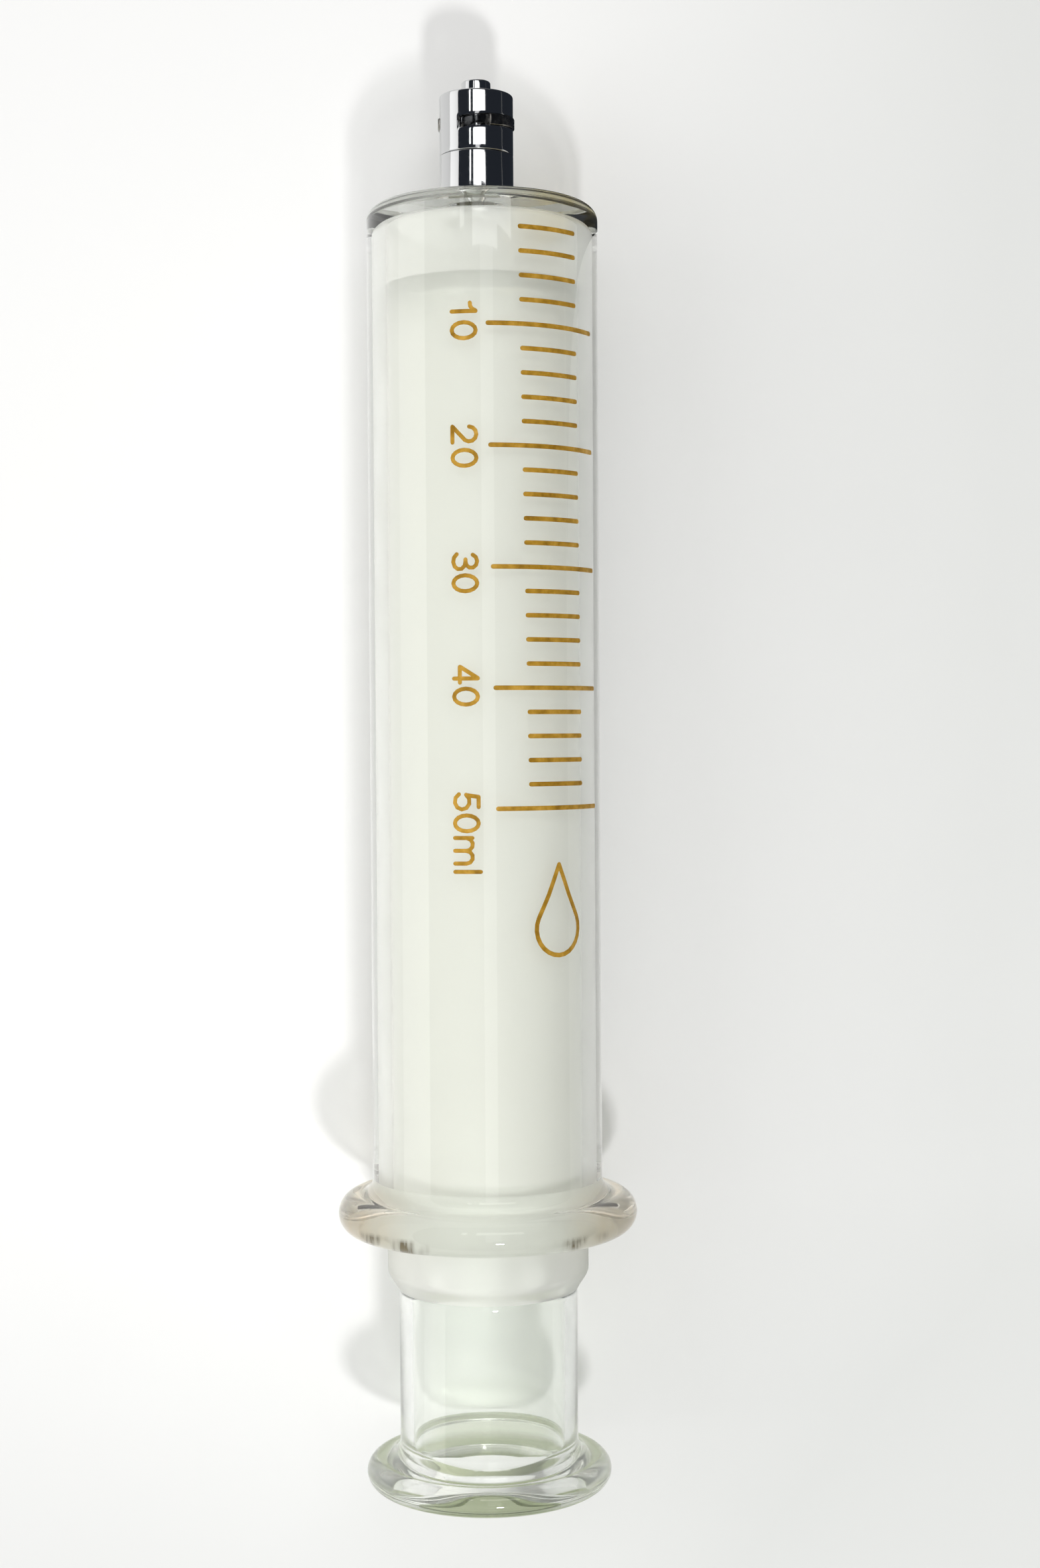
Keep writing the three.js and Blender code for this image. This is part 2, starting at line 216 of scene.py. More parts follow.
class Nodes:
    """A material's node tree, with short calls for the nodes used here."""

    def __init__(self, name):
        self.material = bpy.data.materials.new(name)
        self.material.use_nodes = True
        self.tree = self.material.node_tree
        self.shader = self.tree.nodes["Principled BSDF"]
        self.coordinates = self.tree.nodes.new("ShaderNodeTexCoord").outputs["Object"]
        self.place = self.tree.nodes.new("ShaderNodeSeparateXYZ")
        self.tree.links.new(self.coordinates, self.place.inputs[0])

    def set(self, **values):
        for key, value in values.items():
            self.shader.inputs[key.replace("_", " ")].default_value = value

    def noise(self, scale, detail=3.0, stretch=(1, 1, 1), roughness=0.5):
        mapping = self.tree.nodes.new("ShaderNodeMapping")
        mapping.inputs["Scale"].default_value = stretch
        self.tree.links.new(self.coordinates, mapping.inputs["Vector"])
        texture = self.tree.nodes.new("ShaderNodeTexNoise")
        texture.inputs["Scale"].default_value = scale
        texture.inputs["Detail"].default_value = detail
        texture.inputs["Roughness"].default_value = roughness
        self.tree.links.new(mapping.outputs["Vector"], texture.inputs["Vector"])
        return texture.outputs["Fac"]

    def ramp(self, source, stops):
        """stops: (position, colour) pairs."""
        node = self.tree.nodes.new("ShaderNodeValToRGB")
        elements = node.color_ramp.elements
        while len(elements) < len(stops):
            elements.new(0.5)
        for element, (position, colour) in zip(elements, stops):
            element.position = position
            element.color = (*colour, 1)
        self.tree.links.new(source, node.inputs["Fac"])
        return node.outputs["Color"]

    def span(self, source, low, high, from_low=0.3, from_high=0.7):
        node = self.tree.nodes.new("ShaderNodeMapRange")
        limits = {"From Min": from_low, "From Max": from_high, "To Min": low, "To Max": high}
        for key, value in limits.items():
            node.inputs[key].default_value = value
        self.tree.links.new(source, node.inputs["Value"])
        return node.outputs["Result"]

    def mix(self, a, b, factor):
        """Mixes two number outputs."""
        node = self.tree.nodes.new("ShaderNodeMix")
        for key, value in (("Factor", factor), ("A", a), ("B", b)):
            if isinstance(value, float):
                node.inputs[key].default_value = value
            else:
                self.tree.links.new(value, node.inputs[key])
        return node.outputs["Result"]

    def along(self, axis, start, end):
        """0 at start and 1 at end, in millimetres along an axis of the frame. Y counts from the mouth."""
        base = MOUTH_Y / MM if axis == "Y" else 0.0
        return self.span(self.place.outputs[axis], 0.0, 1.0, (base + start) * MM, (base + end) * MM)

    def math(self, operation, a, b=None):
        node = self.tree.nodes.new("ShaderNodeMath")
        node.operation = operation
        self.tree.links.new(a, node.inputs[0])
        if b is not None:
            self.tree.links.new(b, node.inputs[1])
        return node.outputs[0]

    def blend(self, a, b, factor):
        """Mixes two colours. Each is a colour output or three numbers."""
        node = self.tree.nodes.new("ShaderNodeMix")
        node.data_type = "RGBA"
        self.tree.links.new(factor, node.inputs[0])
        for socket, value in ((node.inputs[6], a), (node.inputs[7], b)):
            if isinstance(value, tuple):
                socket.default_value = (*value, 1)
            else:
                self.tree.links.new(value, socket)
        return node.outputs[2]

    def link(self, source, name):
        self.tree.links.new(source, self.shader.inputs[name])

    def pass_lamps(self, colour):
        """Lets lamp light cross the glass, so that its shadow is pale inside and darker at its edges."""
        add, link = self.tree.nodes.new, self.tree.links.new
        edge = add("ShaderNodeLayerWeight")
        edge.inputs["Blend"].default_value = 0.35
        through = add("ShaderNodeBsdfTransparent")
        dark = tuple(OUTLINE_SHARE * c for c in colour)
        link(self.ramp(edge.outputs["Facing"], [(0.0, colour), (1.0, dark)]), through.inputs["Color"])
        either = add("ShaderNodeMixShader")
        link(add("ShaderNodeLightPath").outputs["Is Shadow Ray"], either.inputs[0])
        link(self.shader.outputs[0], either.inputs[1])
        link(through.outputs[0], either.inputs[2])
        link(either.outputs[0], self.tree.nodes["Material Output"].inputs["Surface"])

    def bump(self, source, distance, strength=1.0):
        node = self.tree.nodes.new("ShaderNodeBump")
        node.inputs["Distance"].default_value = distance * MM
        node.inputs["Strength"].default_value = strength
        self.tree.links.new(source, node.inputs["Height"])
        self.link(node.outputs["Normal"], "Normal")


def srgb(r, g, b):
    """Linear colour from 8-bit sRGB numbers."""
    return tuple(((v / 255 + 0.055) / 1.055) ** 2.4 if v > 10 else v / 255 / 12.92 for v in (r, g, b))


# Tints, as linear colours for light that crosses the surface.
CLEAR_TINT = (0.965, 0.98, 0.955)
# painted reflection: peach on the sides of the barrel flange
PEACH_REFLECTION = (0.97, 0.79, 0.56)
# painted reflection: ochre on the right of the barrel's front
OCHRE_REFLECTION = (0.85, 0.70, 0.34)
# painted shade: dark dashes on the barrel flange
DASH_SHADE = (0.10, 0.07, 0.03)
# painted shade: pale olive on the thumb flange's low side
PALE_OLIVE = (0.66, 0.70, 0.54)
# painted shade: dark olive on the thumb flange's back edge
OLIVE = (0.18, 0.22, 0.09)
GROUND_TINT = (0.825, 0.83, 0.785)
# painted shade: the plunger's ground body where its front edge turns in
GROUND_EDGE_SHADE = (0.22, 0.25, 0.17)
OUTLINE_SHARE = 0.25  # of the lamp light that crosses glass face on, the part that crosses it edge on


def clear_glass(name):
    nodes = Nodes(name)
    nodes.set(IOR=1.45, Transmission_Weight=0.93)
    nodes.link(nodes.span(nodes.noise(260, 4), 0.0, 0.035), "Roughness")
    nodes.bump(nodes.noise(55, 2), 0.03, 0.5)
    nodes.pass_lamps((0.64, 0.66, 0.64))
    return nodes


def clear_barrel_glass():
    """Clear glass, with painted reflections and painted shade on the flange and the front."""
    nodes = clear_glass("clear_barrel_glass")
    streaks = nodes.span(nodes.noise(420, 4, (1, 0.2, 1)), 0.5, 1.0)
    aside = nodes.span(nodes.math("ABSOLUTE", nodes.place.outputs["X"]), 0.0, 1.0, 0.010, 0.018)
    flange = nodes.math("MULTIPLY", aside, nodes.along("Y", 8.0, 4.5))
    ahead = nodes.along("Y", FRONT_FACE - 8.9, FRONT_FACE - 4.9)
    front = nodes.math("MULTIPLY", nodes.along("X", 2.0, 9.0), ahead)
    # painted reflections: peach on the flange's sides and ochre on the right of the front
    tinted = nodes.blend(CLEAR_TINT, PEACH_REFLECTION, nodes.math("MULTIPLY", flange, streaks))
    tinted = nodes.blend(tinted, OCHRE_REFLECTION, nodes.math("MULTIPLY", front, streaks))
    # painted shade: dark dashes on the flange
    dashes = nodes.span(nodes.noise(210, 2, (1, 0.3, 0.3)), 0.0, 1.0, 0.50, 0.57)
    hairs = nodes.span(nodes.noise(1500, 3, (1, 0.1, 0.1)), 0.3, 1.0, 0.40, 0.60)
    edge = nodes.math("MULTIPLY", nodes.math("MULTIPLY", dashes, hairs), nodes.along("Y", 2.6, 1.9))
    tinted = nodes.blend(tinted, DASH_SHADE, edge)
    nodes.link(tinted, "Base Color")
    return nodes.material


def clear_plunger_glass():
    """Clear glass. Painted shade: olive on the thumb flange's back edge, pale olive on its low side."""
    nodes = clear_glass("clear_plunger_glass")
    flange = nodes.along("Y", THUMB_BACK + 5.0, THUMB_BACK + 3.5)
    low_side_shade = nodes.math("MULTIPLY", flange, nodes.along("Z", 15.0, 7.0))
    tinted = nodes.blend(CLEAR_TINT, PALE_OLIVE, low_side_shade)
    edge = nodes.along("Y", THUMB_BACK + 1.5, THUMB_BACK + 0.6)
    nodes.link(nodes.blend(tinted, OLIVE, edge), "Base Color")
    return nodes.material


def clear_wall():
    """The barrel's thin clear wall over its ground bore: gloss from the coat, and little refraction."""
    nodes = Nodes("clear_wall")
    nodes.set(Base_Color=(0.985, 0.995, 0.985, 1), IOR=1.08, Transmission_Weight=1.0, Roughness=0.0)
    nodes.set(Coat_Weight=1.0, Coat_Roughness=0.03, Coat_IOR=1.5)
    nodes.pass_lamps((0.95, 0.95, 0.95))
    return nodes.material


def ground_glass(name):
    nodes = Nodes(name)
    nodes.set(IOR=1.15, Transmission_Weight=0.55)
    coarse = nodes.noise(90, 4)
    nodes.link(nodes.span(coarse, 0.38, 0.48), "Roughness")
    grain = nodes.noise(7000, 2)
    nodes.bump(grain, 0.006, 0.6)
    nodes.pass_lamps((0.58, 0.58, 0.57))
    return nodes


def ground_bore_glass():
    nodes = ground_glass("ground_bore_glass")
    nodes.set(Base_Color=(*GROUND_TINT, 1))
    return nodes.material


def ground_plunger_glass():
    """The ground body, with painted shade: darker and greener where its front edge turns in."""
    nodes = ground_glass("ground_plunger_glass")
    edge = nodes.along("Y", PLUNGER_FRONT - 9.0, PLUNGER_FRONT - 0.5)
    shade = nodes.math("MULTIPLY", edge, edge)
    nodes.link(nodes.blend(GROUND_TINT, GROUND_EDGE_SHADE, shade), "Base Color")
    return nodes.material


def plated_metal():
    nodes = Nodes("plated_metal")
    nodes.set(Base_Color=(0.60, 0.605, 0.61, 1), Metallic=1.0)
    scratches = nodes.noise(900, 5, (1, 9, 1))
    nodes.link(nodes.span(scratches, 0.03, 0.11), "Roughness")
    nodes.bump(nodes.noise(700, 3, (0.3, 6, 0.3)), 0.002, 0.35)
    return nodes.material


def key_metal():
    nodes = Nodes("key_metal")
    nodes.set(Metallic=1.0)
    stain = nodes.noise(900, 4)
    nodes.link(nodes.ramp(stain, [(0.3, (0.14, 0.135, 0.13)), (0.7, (0.42, 0.40, 0.36))]), "Base Color")
    nodes.link(nodes.span(stain, 0.14, 0.34), "Roughness")
    nodes.bump(nodes.noise(2500, 3), 0.01, 0.5)
    return nodes.material


def cement():
    nodes = Nodes("cement")
    grain = nodes.noise(1500, 5)
    nodes.link(nodes.ramp(grain, [(0.3, (0.42, 0.39, 0.31)), (0.7, (0.62, 0.60, 0.52))]), "Base Color")
    nodes.set(Roughness=0.85)
    nodes.bump(grain, 0.05, 0.7)
    return nodes.material


def enamel():
    nodes = Nodes("fired_enamel")
    cloud = nodes.noise(650, 4, roughness=0.6)
    stops = [(0.30, srgb(138, 100, 16)), (0.50, srgb(172, 130, 36)), (0.72, srgb(200, 156, 64))]
    nodes.link(nodes.ramp(cloud, stops), "Base Color")
    nodes.link(nodes.span(cloud, 0.6, 0.4), "Roughness")
    nodes.set(IOR=1.3)
    nodes.bump(nodes.noise(2600, 4), 0.02, 0.6)
    return nodes.material


CLEAR_BARREL = clear_barrel_glass()
CLEAR_PLUNGER = clear_plunger_glass()
GROUND_BORE = ground_bore_glass()
GROUND_PLUNGER = ground_plunger_glass()
WALL = clear_wall()
METAL = plated_metal()
KEY = key_metal()
CEMENT = cement()
ENAMEL = enamel()

# ---- Glass ------------------------------------------------------------------------------------------


def barrel():
    rim = FLANGE_THICKNESS / 2
    rim_centre = FLANGE_RADIUS - rim
    fillet = rim_centre - BARREL_RADIUS
    fillet_y = FLANGE_THICKNESS + fillet
    corner = 1.2
    root = 0.35
    throat = 2 * CHANNEL_RADIUS + 0.3
    flare = 0.9
    channel_edge, nozzle_edge, mouth_edge = 0.3, 0.4, 0.5

    def lean(r, y):
        share = min(max((LEAN_OUTSIDE - r) / (LEAN_OUTSIDE - LEAN_INSIDE), 0.0), 1.0)
        return share * share * (3 - 2 * share) * (TIP_X / MM) if y > BORE_END - 0.01 else 0.0

    clear_front = [
        *run(LEAN_INSIDE, BORE_END, throat, BORE_END, 2),
        *arc(throat, BORE_END + flare, flare, -90, -180, 6),
        *run(CHANNEL_RADIUS + 0.2, BORE_END + 1.3, CHANNEL_RADIUS, BORE_END + 2.0, 2),
        (CHANNEL_RADIUS, NOZZLE_END - channel_edge),
        *arc(CHANNEL_RADIUS + channel_edge, NOZZLE_END - channel_edge, channel_edge, 180, 90, 4),
        *arc(NOZZLE_RADIUS - nozzle_edge, NOZZLE_END - nozzle_edge, nozzle_edge, 90, 0, 5),
        *arc(NOZZLE_RADIUS + root, FRONT_FACE + root, root, 180, 270, 5),
        *run(LEAN_INSIDE, FRONT_FACE, BARREL_RADIUS - FRONT_EDGE, FRONT_FACE, 7),
        *arc(BARREL_RADIUS - FRONT_EDGE, FRONT_FACE - FRONT_EDGE, FRONT_EDGE, 90, 0, 16),
    ]
    wall = run(BARREL_RADIUS, FRONT_FACE - FRONT_EDGE, BARREL_RADIUS, fillet_y, 16)
    clear_outside = [
        *arc(rim_centre, fillet_y, fillet, 180, 270, 14),
        *arc(rim_centre, rim, rim, 90, -90, 28),
        *arc(BORE_RADIUS + mouth_edge, mouth_edge, mouth_edge, 270, 180, 6),
    ]
    ground_bore = [
        *run(BORE_RADIUS, mouth_edge, BORE_RADIUS, BORE_END - corner, 16),
        *arc(BORE_RADIUS - corner, BORE_END - corner, corner, 0, 90, 8),
    ]
    clear_end = run(BORE_RADIUS - corner, BORE_END, LEAN_INSIDE, BORE_END, 5)
    sections = [(clear_front, 0), (wall, 2), (clear_outside, 0), (ground_bore, 1), (clear_end[:-1], 0)]
    bm = lathe(sections, lean=lean)
    glass = [CLEAR_BARREL, GROUND_BORE, WALL]
    return finish_mesh("barrel_glass", bm, glass, "barrel_assembly", ["barrel"])


def plunger():
    front_edge, inner_edge, mouth_edge = 0.8, 2.0, 0.6
    inner_body = PLUNGER_RADIUS - PLUNGER_WALL
    inner_neck = NECK_RADIUS - PLUNGER_WALL
    neck_start = -BODY_TAIL - SHOULDER_LENGTH
    rim = THUMB_THICKNESS / 2
    rim_centre = THUMB_RADIUS - rim
    rim_y = THUMB_BACK + rim
    fillet = rim_centre - NECK_RADIUS
    fillet_y = THUMB_BACK + THUMB_THICKNESS + fillet
    inner_front = PLUNGER_FRONT - PLUNGER_WALL
    shoulder = ease(NECK_RADIUS, neck_start, PLUNGER_RADIUS, -BODY_TAIL, 14)
    clear_points = 4  # the shoulder is clear up to here, and ground after it
    inside = [
        *run(0.0, inner_front, inner_body - inner_edge, inner_front, 6),
        *arc(inner_body - inner_edge, inner_front - inner_edge, inner_edge, 90, 0, 10),
        *run(inner_body, inner_front - inner_edge, inner_body, -BODY_TAIL, 12),
        *ease(inner_body, -BODY_TAIL, inner_neck, neck_start, 12),
        *ease(inner_neck, fillet_y, MOUTH_RADIUS, rim_y, 12),
        *arc(MOUTH_RADIUS + mouth_edge, THUMB_BACK + mouth_edge, mouth_edge, 180, 270, 6),
        *arc(rim_centre, rim_y, rim, -90, 90, 24),
        *arc(rim_centre, fillet_y, fillet, 270, 180, 14),
        *shoulder[:clear_points],
    ]
    ground_body = [
        *shoulder[clear_points:],
        *run(PLUNGER_RADIUS, -BODY_TAIL, PLUNGER_RADIUS, PLUNGER_FRONT - front_edge, 16),
        *arc(PLUNGER_RADIUS - front_edge, PLUNGER_FRONT - front_edge, front_edge, 0, 45, 4),
    ]
    clear_front = [
        *arc(PLUNGER_RADIUS - front_edge, PLUNGER_FRONT - front_edge, front_edge, 45, 90, 4),
        *run(PLUNGER_RADIUS - front_edge, PLUNGER_FRONT, 0.0, PLUNGER_FRONT, 6),
    ]
    bm = lathe([(inside, 0), (ground_body, 1), (clear_front, 0)])
    glass = [CLEAR_PLUNGER, GROUND_PLUNGER]
    return finish_mesh("plunger_glass", bm, glass, "plunger", ["plunger"])


# ---- Metal tip --------------------------------------------------------------------------------------


def ferrule():
    edge, fine = 0.18, 0.1
    low, high = station(ferrule_low.y), SEAM_BACK
    profile = [
        *run(SOCKET_RADIUS, high - fine, SOCKET_RADIUS, low + fine, 4),
        *arc(SOCKET_RADIUS + fine, low + fine, fine, 180, 270, 3),
        *arc(TIP_RADIUS - edge, low + edge, edge, -90, 0, 6),
        *arc(TIP_RADIUS - fine, high - fine, fine, 0, 90, 4),
        *arc(SOCKET_RADIUS + fine, high - fine, fine, 90, 180, 3),
    ]
    bm = lathe([(profile, 0)], centre_x=TIP_X)
    name = "base_ferrule"
    return finish_mesh(f"{name}_plated", bm, [METAL], "barrel_assembly", [name])


def cement_ring():
    low, high = (station(box.y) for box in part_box("nozzle_cement"))
    inner, outer = NOZZLE_RADIUS + 0.03, SOCKET_RADIUS - 0.04
    profile = [
        *run(inner, high - 0.1, inner, low + 0.4, 6),
        (outer - 0.08, low),
        *run(outer, low + 0.1, outer, high - 0.1, 6),
        (outer - 0.1, high),
    ]
    bm = lathe([(profile, 0)], centre_x=TIP_X, segments=96)
    return finish_mesh("nozzle_cement_ring", bm, [CEMENT], "barrel_assembly", ["nozzle_cement"])


def luer_cone():
    low, high = station(cone_low.y), station(cone_high.y)
    hub = SOCKET_RADIUS - 0.04
    hub_end = SEAM_FRONT + 1
    start = hub_end + 0.6
    root = CONE_RADIUS + (high - start) * CONE_TAPER
    edge = 0.25
    profile = [
        *run(CONE_BORE, high - edge, CONE_BORE, low, 4),
        *run(CONE_BORE, low, hub, low, 3),
        (hub, hub_end - 0.15),
        (hub - 0.15, hub_end),
        *arc(root + 0.6, hub_end + 0.6, 0.6, 270, 180, 6),
        *run(root, start, CONE_RADIUS, high - edge, 8),
        *arc(CONE_RADIUS - edge, high - edge, edge, 0, 90, 6),
        *arc(CONE_BORE + edge, high - edge, edge, 90, 180, 5),
    ]
    bm = lathe([(profile, 0)], centre_x=TIP_X, segments=128)
    return finish_mesh("luer_cone_plated", bm, [METAL], "barrel_assembly", ["luer_cone"])


def tip_point(r, y, angle):
    """A point round the tip's axis. The angle is in degrees from +Z towards +X."""
    a = math.radians(angle)
    return Vector((TIP_X + r * MM * math.sin(a), MOUTH_Y + y * MM, AXIS_Z + r * MM * math.cos(a)))


def slot_middle(angle):
    """The y of a slot's centre line, which climbs as a thread does."""
    middle = sum(SLOT_ANGLES) / 2
    return SLOT_Y + SLOT_LEAD * (angle - middle) / 360 + SLOT_LEAD * (middle / 360)


def collar():
    """A ring with two slots through its wall, on one grid of angle and y."""
    start, end = SLOT_ANGLES
    in_slot = [start + (end - start) * i / 52 for i in range(53)]
    between = [end + (start + 180 - end) * i / 20 for i in range(1, 20)]
    angles = [a + turn for turn in (0, 180) for a in in_slot + between]
    columns = len(angles)
    inside_slot = [i % (columns // 2) < 52 for i in range(columns)]

    def slot_y(i):
        local = angles[i] - (180 if i >= columns // 2 else 0)
        if local <= end:
            return slot_middle(local)
        share = (local - end) / (start + 180 - end)
        return slot_middle(end) + (slot_middle(start) - slot_middle(end)) * share

    bevel, steps = 0.25, 5
    low, high = SEAM_FRONT, COLLAR_END
    bm = bmesh.new()

    def ring(radius, place):
        return [bm.verts.new(tip_point(radius, place(i), angles[i])) for i in range(columns)]

    def wall_levels(first, last):
        """Places along the wall at each column, from its ends to the slot's two edges."""

        def below(share):
            return lambda i: first + (slot_y(i) - SLOT_WIDTH / 2 - first) * share

        def above(share):
            return lambda i: last + (slot_y(i) + SLOT_WIDTH / 2 - last) * share

        return [below(t / 6) for t in range(7)], [above(1 - t / 8) for t in range(9)]

    def corner(centre_r, centre_y, radius, a0, a1):
        return arc(centre_r, centre_y, radius, a0, a1, steps)

    outer_low, outer_high = wall_levels(low + bevel, high - bevel)
    inner_low, inner_high = wall_levels(low + 0.15, high - 0.35)
    loop = []
    loop += [ring(TIP_RADIUS, level) for level in outer_low]
    slot_row = len(loop) - 1
    loop += [ring(TIP_RADIUS, level) for level in outer_high]
    front = corner(TIP_RADIUS - bevel, high - bevel, bevel, 0, 90)[1:]
    loop += [ring(r, lambda i, y=y: y) for r, y in front]
    mouth = arc(SOCKET_RADIUS + 0.35, high - 0.35, 0.35, 90, 180, steps)[:-1]
    loop += [ring(r, lambda i, y=y: y) for r, y in mouth]
    loop += [ring(SOCKET_RADIUS, level) for level in reversed(inner_high)]
    inner_row = len(loop) - 1
    loop += [ring(SOCKET_RADIUS, level) for level in reversed(inner_low)]
    back = [(SOCKET_RADIUS + 0.15, low), *corner(TIP_RADIUS - bevel, low + bevel, bevel, -90, 0)[:-1]]
    loop += [ring(r, lambda i, y=y: y) for r, y in back]

    rows = len(loop)
    for k in range(rows):
        a, b = loop[k], loop[(k + 1) % rows]
        for i in range(columns):
            if k in (slot_row, inner_row) and inside_slot[i]:
                continue
            j = (i + 1) % columns
            bm.faces.new((a[i], a[j], b[j], b[i]))
    for outer_row, inner in ((slot_row, inner_row + 1), (slot_row + 1, inner_row)):
        for i in range(columns):
            if inside_slot[i]:
                j = (i + 1) % columns
                bm.faces.new((loop[outer_row][i], loop[outer_row][j], loop[inner][j], loop[inner][i]))
    for i in range(columns):
        if inside_slot[i] != inside_slot[i - 1]:
            bm.faces.new([loop[k][i] for k in (slot_row, slot_row + 1, inner_row, inner_row + 1)])
    bmesh.ops.recalc_face_normals(bm, faces=bm.faces)
    sharp = [e for e in bm.edges if e.calc_face_angle(0.0) > math.radians(50)]
    bmesh.ops.bevel(bm, geom=sharp, offset=0.07 * MM, segments=2, profile=0.5, affect="EDGES")
    mark_creases(bm, 40)
    name = "lock_collar"
    return finish_mesh(f"{name}_plated", bm, [METAL], "barrel_assembly", [name])


def thread_key(number, turn):
    """A curved block in a slot, with rounded edges."""
    inner, outer = SOCKET_RADIUS - 0.5, TIP_RADIUS + 0.2
    half = (SLOT_WIDTH - 0.1) / 2
    start, end = KEY_ANGLES
    bm = bmesh.new()
    count = 40
    rings = []
    for i in range(count + 1):
        angle = start + (end - start) * i / count
        y = slot_middle(angle)
        corners = [(outer, y - half), (outer, y + half), (inner, y + half), (inner, y - half)]
        rings.append([bm.verts.new(tip_point(r, s, angle + turn)) for r, s in corners])
    for a, b in zip(rings, rings[1:]):
        for k in range(4):
            m = (k + 1) % 4
            bm.faces.new((a[k], a[m], b[m], b[k]))
    bm.faces.new(rings[0])
    bm.faces.new(rings[-1])
    bmesh.ops.recalc_face_normals(bm, faces=bm.faces)
    sharp = [e for e in bm.edges if e.calc_face_angle(0.0) > math.radians(50)]
    bmesh.ops.bevel(bm, geom=sharp, offset=0.16 * MM, segments=4, profile=0.5, affect="EDGES")
    mark_creases(bm, 45)
    name = f"lock_thread_key_{number}"
    return finish_mesh(f"{name}_block", bm, [KEY], "barrel_assembly", [name])


# ---- Studio -----------------------------------------------------------------------------------------

FLOOR_TILT = math.radians(2.025)  # the flange stands lower than the front edge, so the table tilts


def card(name, corners, material):
    mesh = bpy.data.meshes.new(name)
    mesh.from_pydata([Vector(c) for c in corners], [], [tuple(range(len(corners)))])
    mesh.materials.append(material)
    obj = bpy.data.objects.new(name, mesh)
    bpy.context.scene.collection.objects.link(obj)
    return obj


def floor():
    """A pale table that touches the barrel flange and the barrel's front edge, with painted shade."""
    rim = FLANGE_THICKNESS / 2
    centre = Vector((0, MOUTH_Y + rim * MM, AXIS_Z - (FLANGE_RADIUS - rim) * MM))
    up = Vector((0, -math.sin(FLOOR_TILT), math.cos(FLOOR_TILT)))
    along = Vector((0, math.cos(FLOOR_TILT), math.sin(FLOOR_TILT)))
    foot = centre - up * rim * MM
    half = 3.0
    square = ((-half, -half), (half, -half), (half, half), (-half, half))
    corners = [foot + along * y + Vector((x, 0, 0)) for x, y in square]
    nodes = Nodes("pale_table")
    paper = nodes.noise(40, 5)
    # painted shade: the table darkens towards +x and towards low y, under a faint paper grain
    right = nodes.span(nodes.place.outputs["X"], 0.0, 1.0, 0.0, 0.075)
    near = nodes.span(nodes.place.outputs["Y"], 1.0, 0.0, -0.125, -0.06)
    shade = nodes.mix(right, near, 0.42)
    tone = nodes.mix(shade, paper, 0.08)
    nodes.link(nodes.ramp(tone, [(0.05, (0.90, 0.90, 0.893)), (0.65, (0.72, 0.73, 0.715))]), "Base Color")
    nodes.set(Roughness=0.7)
    nodes.bump(nodes.noise(1600, 4), 0.03, 0.3)
    return card("table_top", corners, nodes.material)


def dark_card(name, corners, colour):
    # A dark sheet that only glossy rays meet, so it shows only in reflections on the tip and the glass.
    nodes = Nodes(name)
    nodes.set(Base_Color=(0, 0, 0, 1), Roughness=1.0, Emission_Color=(*colour, 1), Emission_Strength=1.0)
    nodes.set(Specular_IOR_Level=0.0)
    obj = card(name, corners, nodes.material)
    obj.visible_camera = obj.visible_diffuse = obj.visible_transmission = obj.visible_shadow = False
    return obj


def area_light(name, x_span, y_span, height, radiance, aim=None):
    """A softbox given by its extent in metres. Radiance is in the render's own units."""
    light = bpy.data.lights.new(name, "AREA")
    light.shape = "RECTANGLE"
    light.size = x_span[1] - x_span[0]
    light.size_y = y_span[1] - y_span[0]
    light.energy = radiance * 4 * light.size * light.size_y
    obj = bpy.data.objects.new(name, light)
    bpy.context.scene.collection.objects.link(obj)
    obj.location = (sum(x_span) / 2, sum(y_span) / 2, height)
    if aim is not None:
        obj.rotation_euler = (Vector(aim) - obj.location).to_track_quat("-Z", "Y").to_euler()
    obj.visible_camera = False
    return obj


def surroundings():
    """A pale room, brighter on the left; a dark ceiling and right wall that only reflections see."""
    world = bpy.data.worlds.new("studio")
    bpy.context.scene.world = world
    world.use_nodes = True
    tree = world.node_tree
    background = tree.nodes["Background"]
    direction = tree.nodes.new("ShaderNodeTexCoord").outputs["Generated"]
    split = tree.nodes.new("ShaderNodeSeparateXYZ")
    tree.links.new(direction, split.inputs[0])
    fraction = tree.nodes.new("ShaderNodeMapRange")
    fraction.inputs["From Min"].default_value = -1.0
    tree.links.new(split.outputs["X"], fraction.inputs["Value"])
    ramp = tree.nodes.new("ShaderNodeValToRGB")
    stops = [(0.0, 1.20), (0.12, 0.85), (0.25, 0.55), (0.60, 0.40), (0.90, 0.12)]
    while len(ramp.color_ramp.elements) < len(stops):
        ramp.color_ramp.elements.new(0.5)
    for element, (position, level) in zip(ramp.color_ramp.elements, stops):
        element.position = position
        element.color = (level, level * 0.995, level * 0.985, 1)
    tree.links.new(fraction.outputs["Result"], ramp.inputs["Fac"])
    tree.links.new(ramp.outputs["Color"], background.inputs["Color"])
    background.inputs["Strength"].default_value = 1.3
    dark = (0.022, 0.026, 0.034)
    left_x, right_x, depth, wall_low, wall_top = -0.93, 0.9, 1.5, 0.06, 0.62
    strip_x, strip_y, strip_end, strip_low, strip_high = 0.001, 0.079, 0.6, 0.011, 0.04
    ceiling = [(left_x, -depth), (right_x, -depth), (right_x, depth), (left_x, depth)]
    wall = [(-depth, wall_low), (depth, wall_low), (depth, wall_top), (-depth, wall_top)]
    strip = [
        (strip_x, strip_y, strip_low),
        (right_x, strip_y, strip_low),
        (right_x, strip_end, strip_high),
        (strip_x, strip_end, strip_high),
    ]
    dark_card("dark_ceiling", [(x, y, wall_top) for x, y in ceiling], dark)
    dark_card("dark_wall", [(right_x, y, z) for y, z in wall], dark)
    # painted dark reflection: a strip over the bright table on the right
    dark_card("dark_floor_strip", strip, dark)
    pale_room()


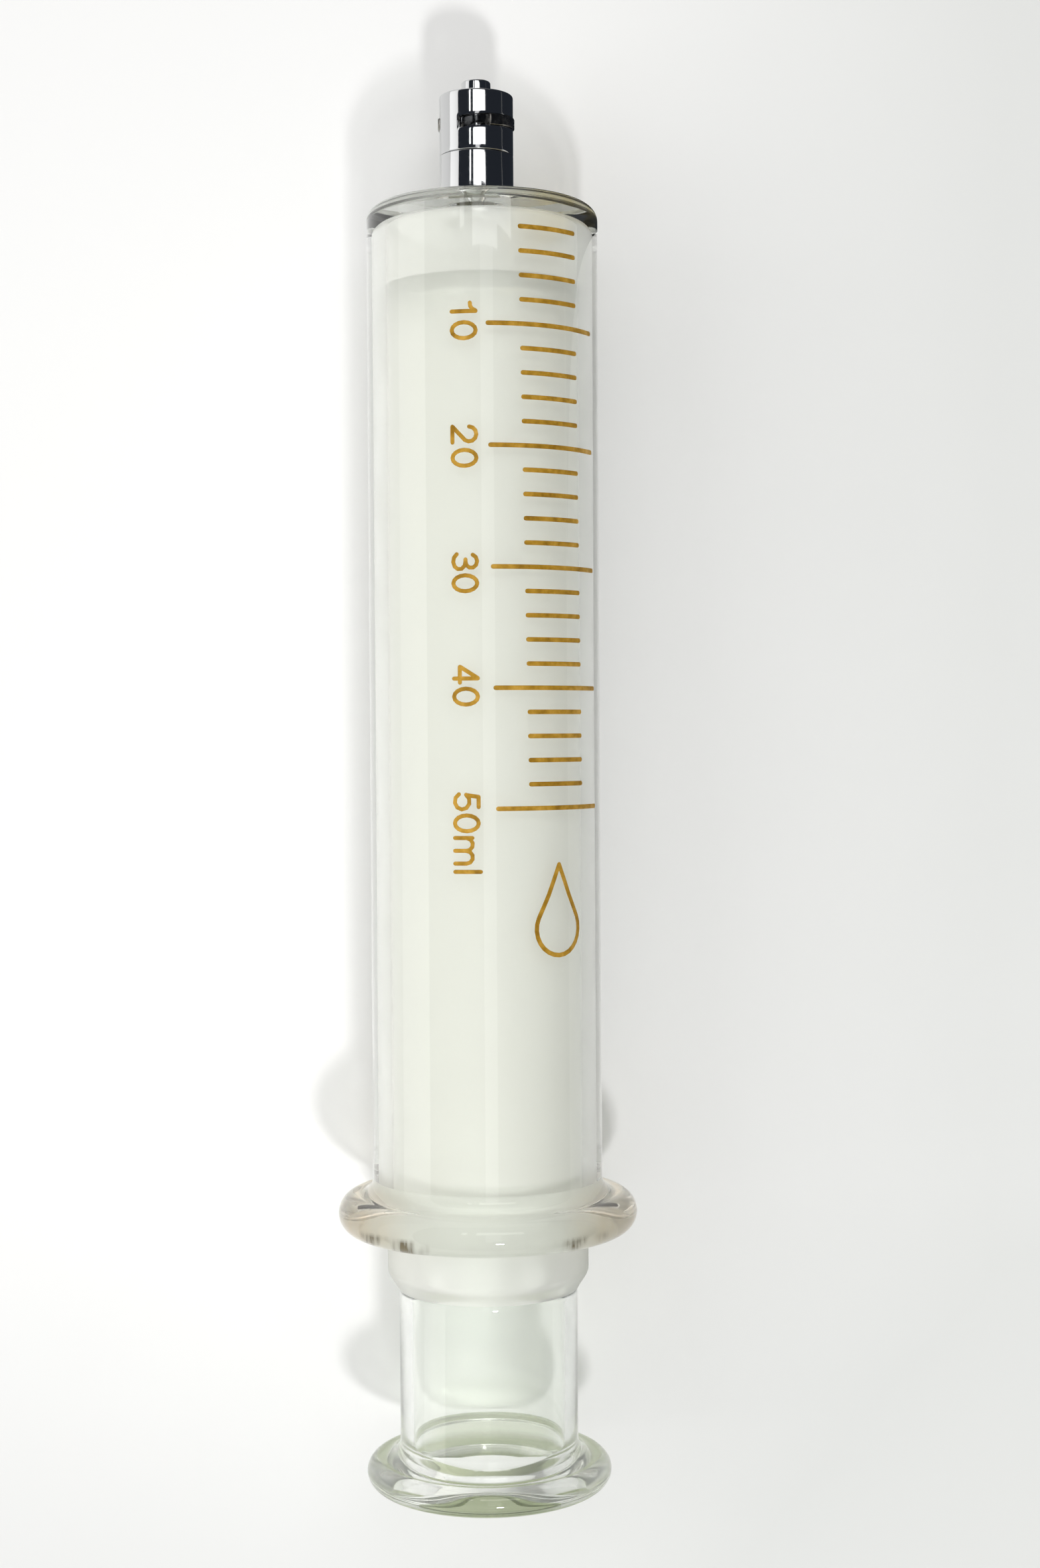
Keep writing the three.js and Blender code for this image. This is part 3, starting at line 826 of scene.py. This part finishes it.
def pale_room():
    """Walls and ceiling that only light through glass meets, so that clear glass stays pale."""
    far, top = 1.3, 0.8
    low = [(-far, -far, 0), (far, -far, 0), (far, far, 0), (-far, far, 0)]
    high = [(x, y, top) for x, y, _ in low]
    faces = [(4, 5, 6, 7)] + [(i, (i + 1) % 4, (i + 1) % 4 + 4, i + 4) for i in range(4)]
    nodes = Nodes("pale_room")
    across = nodes.span(nodes.place.outputs["X"], 0.0, 1.0, -far, far)
    stops = [(0.0, (1.15, 1.15, 1.10)), (0.5, (0.85, 0.85, 0.83)), (1.0, (0.40, 0.40, 0.39))]
    nodes.set(Base_Color=(0, 0, 0, 1), Specular_IOR_Level=0.0, Emission_Strength=1.0)
    nodes.link(nodes.ramp(across, stops), "Emission Color")
    mesh = bpy.data.meshes.new("pale_room")
    mesh.from_pydata(low + high, [], faces)
    mesh.materials.append(nodes.material)
    room = bpy.data.objects.new("pale_room", mesh)
    bpy.context.scene.collection.objects.link(room)
    room.visible_camera = room.visible_diffuse = room.visible_glossy = room.visible_shadow = False


def lights():
    """Four panels overhead, a small lamp that casts the shadows and a window on the left."""
    overhead = 0.56
    panels = (
        ("overhead_long", (-0.012, 0.105), (-0.20, 0.188), 0.7),
        ("overhead_ferrule", (-0.080, 0.150), (0.188, 0.209), 1.9),
        ("overhead_wide", (-0.080, 0.300), (0.209, 0.36), 1.9),
        ("overhead_strip", (-0.200, -0.156), (0.209, 0.36), 1.9),
    )
    for name, x_span, y_span, radiance in panels:
        area_light(name, x_span, y_span, overhead, radiance)
    key = area_light("key", (0.05, 0.09), (-0.27, -0.23), 0.42, 150.0, aim=(0, 0.35, 0.0))
    key.visible_transmission = False
    window = area_light("window_side", (-0.80, -0.40), (-0.40, 0.40), 0.30, 1.0, aim=(0, 0, 0.02))
    window.visible_glossy = window.visible_transmission = False


def camera():
    """Looks straight down on the syringe from about a third of a metre."""
    data = bpy.data.cameras.new("camera")
    data.lens = 53.15
    data.sensor_width = 36
    data.clip_start = 0.01
    data.clip_end = 20
    obj = bpy.data.objects.new("camera", data)
    bpy.context.scene.collection.objects.link(obj)
    place = Vector((0.004827, 0.007931, 0.343398))
    tilt = Matrix.Rotation(-0.023525, 4, "X") @ Matrix.Rotation(-0.0059746, 4, "Z")
    obj.matrix_world = Matrix.Translation(place) @ tilt
    bpy.context.scene.camera = obj


# ---- Assembly ---------------------------------------------------------------------------------------

barrel()
plunger()
ferrule()
cement_ring()
luer_cone()
collar()
thread_key(1, 0)
thread_key(2, 180)

for name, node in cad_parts.items():
    if name.startswith(("mark_", "numeral_", "drop_")):
        node.data.materials.clear()
        node.data.materials.append(ENAMEL)
        node.visible_shadow = False

floor()
surroundings()
lights()
camera()
bpy.context.scene.view_settings.view_transform = "Standard"
light_paths = bpy.context.scene.cycles
light_paths.max_bounces = 40
light_paths.diffuse_bounces = 10
light_paths.glossy_bounces = 32
light_paths.transmission_bounces = 32
